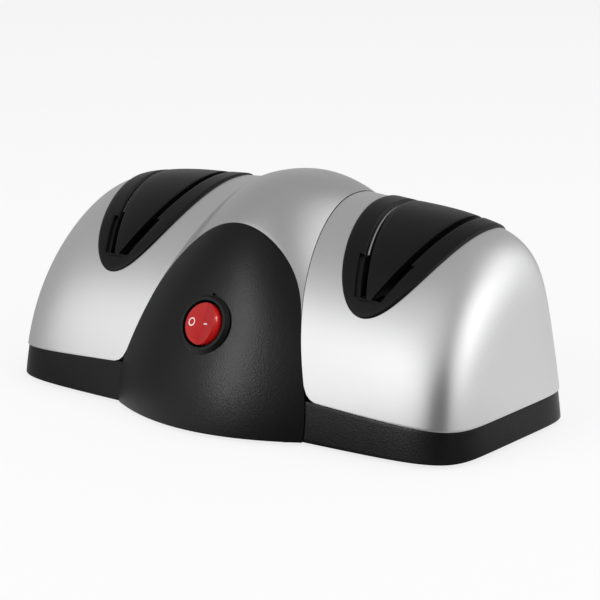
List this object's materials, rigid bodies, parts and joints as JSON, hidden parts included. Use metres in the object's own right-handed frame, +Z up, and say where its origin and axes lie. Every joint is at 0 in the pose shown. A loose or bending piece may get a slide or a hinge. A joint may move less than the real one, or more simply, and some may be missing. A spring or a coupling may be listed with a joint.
{
  "type": "electric knife sharpener",
  "caption": "Electric knife sharpener with silver wings, a black switch bulge, a red round rocker and V-slotted black knife guides.",
  "frame": {"origin": "centre of the overall footprint at the level the rubber feet rest on", "axes": "+X to the viewer's right along the row of knife guides, +Y towards the back, +Z up; the switch faces -Y"},
  "size_m": [0.214, 0.1138, 0.0894],
  "materials": {
    "satin_black": "satin",
    "silver_paint": "satin metallic paint on plastic",
    "grey_base": "matte",
    "rocker_red": "gloss",
    "black_switch": "satin",
    "rubber": "matte",
    "steel": "plain",
    "screw_steel": "zinc plated",
    "brass": "plain",
    "copper": "enamelled wire",
    "bronze": "sintered",
    "ferrite": "matte",
    "carbon": "matte",
    "coarse_stone": "coarse grit",
    "fine_stone": "fine grit",
    "white_plastic": "matte",
    "board": "laminate",
    "amber_glass": "clear"
  },
  "bodies": {
    "housing": {"left_wing_shell": "silver_paint", "right_wing_shell": "silver_paint", "lower_housing": "satin_black", "centre_hoop": "silver_paint", "base_plate": "grey_base", "left_knife_guide": "satin_black", "left_guide_strips": "steel", "right_knife_guide": "satin_black", "right_guide_strips": "steel", "rubber_feet": "rubber", "housing_screws": "screw_steel", "switch_body": "black_switch", "switch_lamp": "amber_glass", "switch_terminals": "brass", "cord_bush": "rubber", "motor_can": "steel", "motor_end_cap": "white_plastic", "field_magnets": "ferrite", "shaft_bushes": "bronze", "carbon_brushes": "carbon", "mount_rings": "rubber", "motor_clamps": "steel", "clamp_screws": "screw_steel", "rectifier_board": "board", "board_parts": "black_switch"},
    "rocker_body": {"rocker": "rocker_red"},
    "rotor": {"armature_core": "steel", "armature_windings": "copper", "commutator": "copper", "motor_shaft": "steel", "cooling_fan": "white_plastic", "left_coarse_wheel": "coarse_stone", "right_fine_wheel": "fine_stone", "wheel_hubs": "steel", "wheel_washers": "screw_steel", "wheel_nuts": "brass"}
  },
  "joints": [
    {"name": "rocker_tilt", "type": "hinge", "parent": "housing", "child": "rocker_body", "pos_m": [0, -0.04585, 0.04044], "axis": [0, 0.4226, 0.9063], "range_deg": [0, 24]},
    {"name": "rotor_spin", "type": "hinge", "parent": "housing", "child": "rotor", "pos_m": [0, 0.0052, 0.0395], "axis": [1, 0, 0], "continuous": true}
  ]
}
